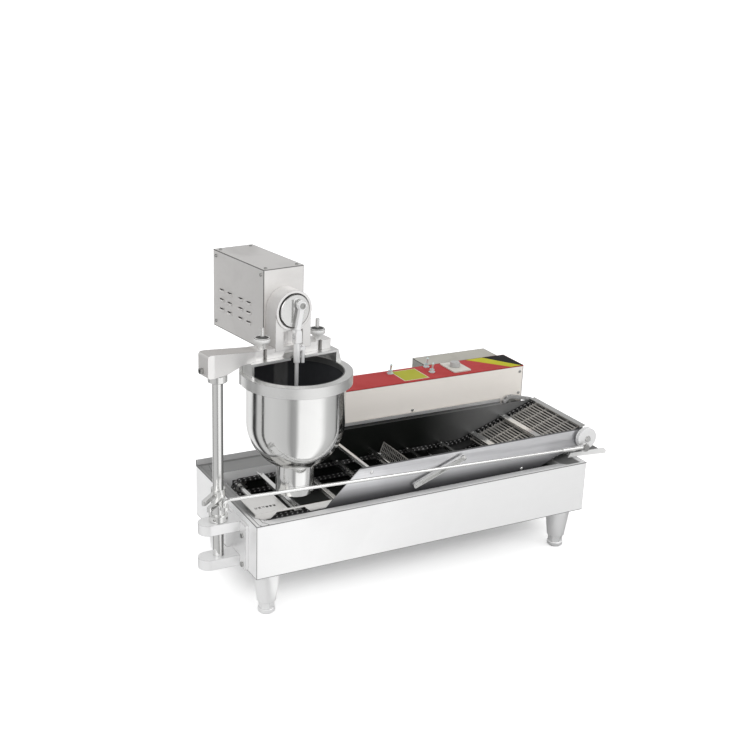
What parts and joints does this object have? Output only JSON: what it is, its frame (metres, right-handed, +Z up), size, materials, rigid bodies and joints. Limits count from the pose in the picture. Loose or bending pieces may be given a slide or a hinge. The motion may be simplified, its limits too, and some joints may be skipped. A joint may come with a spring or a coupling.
{
  "type": "donut maker",
  "caption": "Table-top donut maker: swinging dough hopper on a post, oil tank with a chain conveyor and turning grid, incline to a chute, control box behind.",
  "frame": {"origin": "on the floor under the middle of the whole machine", "axes": "+X along the machine from the hopper to the chute, +Y from the front to the control box, +Z up"},
  "size_m": [1.1, 0.4778, 0.7694],
  "materials": {
    "stainless_sheet": "fine brushed sheet",
    "polished_steel": "polished bar and spun bowl",
    "cast_aluminium": "satin casting",
    "fastener_steel": "bright zinc",
    "chain_steel": "oiled dark steel",
    "element_sheath": "heat-darkened sheath",
    "motor_paint": "grey paint",
    "cover_sheet": "warm grey sheet",
    "panel_red": "satin red panel",
    "ivory_plastic": "ivory",
    "grey_plastic": "grey",
    "switch_metal": "bright plated"
  },
  "bodies": {
    "base": {"outer_casing": "stainless_sheet", "oil_tank": "stainless_sheet", "legs": "stainless_sheet", "conveyor_side_front": "stainless_sheet", "conveyor_side_rear": "stainless_sheet", "frame_cross_members": "stainless_sheet", "start_plate": "stainless_sheet", "discharge_chute": "stainless_sheet", "control_box_shell": "stainless_sheet", "motor_housing": "stainless_sheet", "flights": "stainless_sheet", "incline_grid": "polished_steel", "levelling_feet": "polished_steel", "post_bracket": "cast_aluminium", "bracket_bolts": "fastener_steel", "control_screws": "fastener_steel", "shaft_bushes": "fastener_steel", "conveyor_chains": "chain_steel", "drive_chain": "chain_steel", "heating_element": "element_sheath", "conveyor_gear_motor": "motor_paint", "control_panel": "panel_red", "knob_bezel": "ivory_plastic", "cable_gland": "grey_plastic", "switch_bodies": "switch_metal"},
    "drive": {"drive_shaft": "polished_steel", "drive_sprockets": "fastener_steel", "crank_disc": "polished_steel"},
    "idler": {"idler_shaft": "polished_steel", "idler_sprockets": "fastener_steel"},
    "motor_output": {"motor_sprocket": "fastener_steel"},
    "flipper": {"flipper_shaft": "polished_steel", "flipper_mesh": "polished_steel", "flipper_lever": "polished_steel"},
    "swing_arm": {"post": "polished_steel", "post_collars": "polished_steel", "swing_lever": "polished_steel", "arm_casting": "cast_aluminium", "arm_clamp_screw": "fastener_steel", "hopper_flange": "cast_aluminium", "hopper_bowl": "polished_steel", "hopper_nozzle": "polished_steel", "hopper_studs": "polished_steel", "motor_cover": "cover_sheet", "cover_screws": "fastener_steel", "head_gear_motor": "motor_paint"},
    "link": {"link_rod": "polished_steel", "crank_bolt": "fastener_steel"},
    "head_crank": {"head_crank_disc": "polished_steel"},
    "plunger": {"plunger_rod": "polished_steel", "plunger_sleeve": "polished_steel", "plunger_cutter": "polished_steel"},
    "connecting_link": {"connecting_link": "polished_steel", "link_bolt": "fastener_steel"},
    "thumb_nut_left": {"thumb_nut_left": "polished_steel"},
    "thumb_nut_right": {"thumb_nut_right": "polished_steel"},
    "speed_knob": {"speed_knob": "grey_plastic"},
    "toggle_left": {"toggle_left": "switch_metal"},
    "toggle_back": {"toggle_back": "switch_metal"},
    "toggle_front": {"toggle_front": "switch_metal"}
  },
  "joints": [
    {"name": "hopper_swing", "type": "hinge", "parent": "base", "child": "swing_arm", "pos_m": [-0.494, -0.12958, 0.3], "axis": [0, 0, 1], "range_deg": [-6, 28]},
    {"name": "link_pivot", "type": "hinge", "parent": "swing_arm", "child": "link", "pos_m": [-0.5082, -0.20318, 0.286], "axis": [0, 0, 1], "range_deg": [-28, 6]},
    {"name": "drive_turn", "type": "hinge", "parent": "base", "child": "drive", "pos_m": [0.482, -0.06008, 0.2836], "axis": [0, 1, 0], "continuous": true},
    {"name": "idler_turn", "type": "hinge", "parent": "base", "child": "idler", "pos_m": [-0.36775, -0.06008, 0.206], "axis": [0, 1, 0], "continuous": true},
    {"name": "motor_turn", "type": "hinge", "parent": "base", "child": "motor_output", "pos_m": [0.418, 0.06492, 0.3], "axis": [0, 1, 0], "continuous": true},
    {"name": "flipper_lift", "type": "hinge", "parent": "base", "child": "flipper", "pos_m": [-0.012, -0.06008, 0.243], "axis": [0, -1, 0], "range_deg": [0, 100]},
    {"name": "head_crank_turn", "type": "hinge", "parent": "swing_arm", "child": "head_crank", "pos_m": [-0.30033, -0.09904, 0.679], "axis": [-0.1305, 0.9914, 0], "continuous": true},
    {"name": "plunger_stroke", "type": "slide", "parent": "swing_arm", "child": "plunger", "axis": [0, 0, 1], "range_m": [-0.0304, 0.0036]},
    {"name": "link_tilt", "type": "hinge", "parent": "plunger", "child": "connecting_link", "pos_m": [-0.29863, -0.11193, 0.632], "axis": [-0.1305, 0.9914, 0], "range_deg": [-10.5, 1.5]},
    {"name": "thumb_nut_left_turn", "type": "hinge", "parent": "swing_arm", "child": "thumb_nut_left", "pos_m": [-0.3743, -0.09264, 0.61], "axis": [0, 0, 1], "continuous": true},
    {"name": "thumb_nut_right_turn", "type": "hinge", "parent": "swing_arm", "child": "thumb_nut_right", "pos_m": [-0.23054, -0.07371, 0.61], "axis": [0, 0, 1], "continuous": true},
    {"name": "speed_turn", "type": "hinge", "parent": "base", "child": "speed_knob", "pos_m": [0.277, 0.12792, 0.41], "axis": [0, 0, 1], "range_deg": [-135, 135]},
    {"name": "toggle_left_flip", "type": "hinge", "parent": "base", "child": "toggle_left", "pos_m": [0.092, 0.14792, 0.405], "axis": [-1, 0, 0], "range_deg": [0, 24]},
    {"name": "toggle_back_flip", "type": "hinge", "parent": "base", "child": "toggle_back", "pos_m": [0.207, 0.15792, 0.405], "axis": [-1, 0, 0], "range_deg": [0, 24]},
    {"name": "toggle_front_flip", "type": "hinge", "parent": "base", "child": "toggle_front", "pos_m": [0.199, 0.11592, 0.405], "axis": [-1, 0, 0], "range_deg": [0, 24]}
  ],
  "couplings": [
    {"joint": "link_pivot", "follows": "hopper_swing", "ratio": -1},
    {"joint": "idler_turn", "follows": "drive_turn", "ratio": 1},
    {"joint": "motor_turn", "follows": "drive_turn", "ratio": 1},
    {"joint": "link_tilt", "follows": "plunger_stroke", "rad_per_m": 5.92}
  ]
}
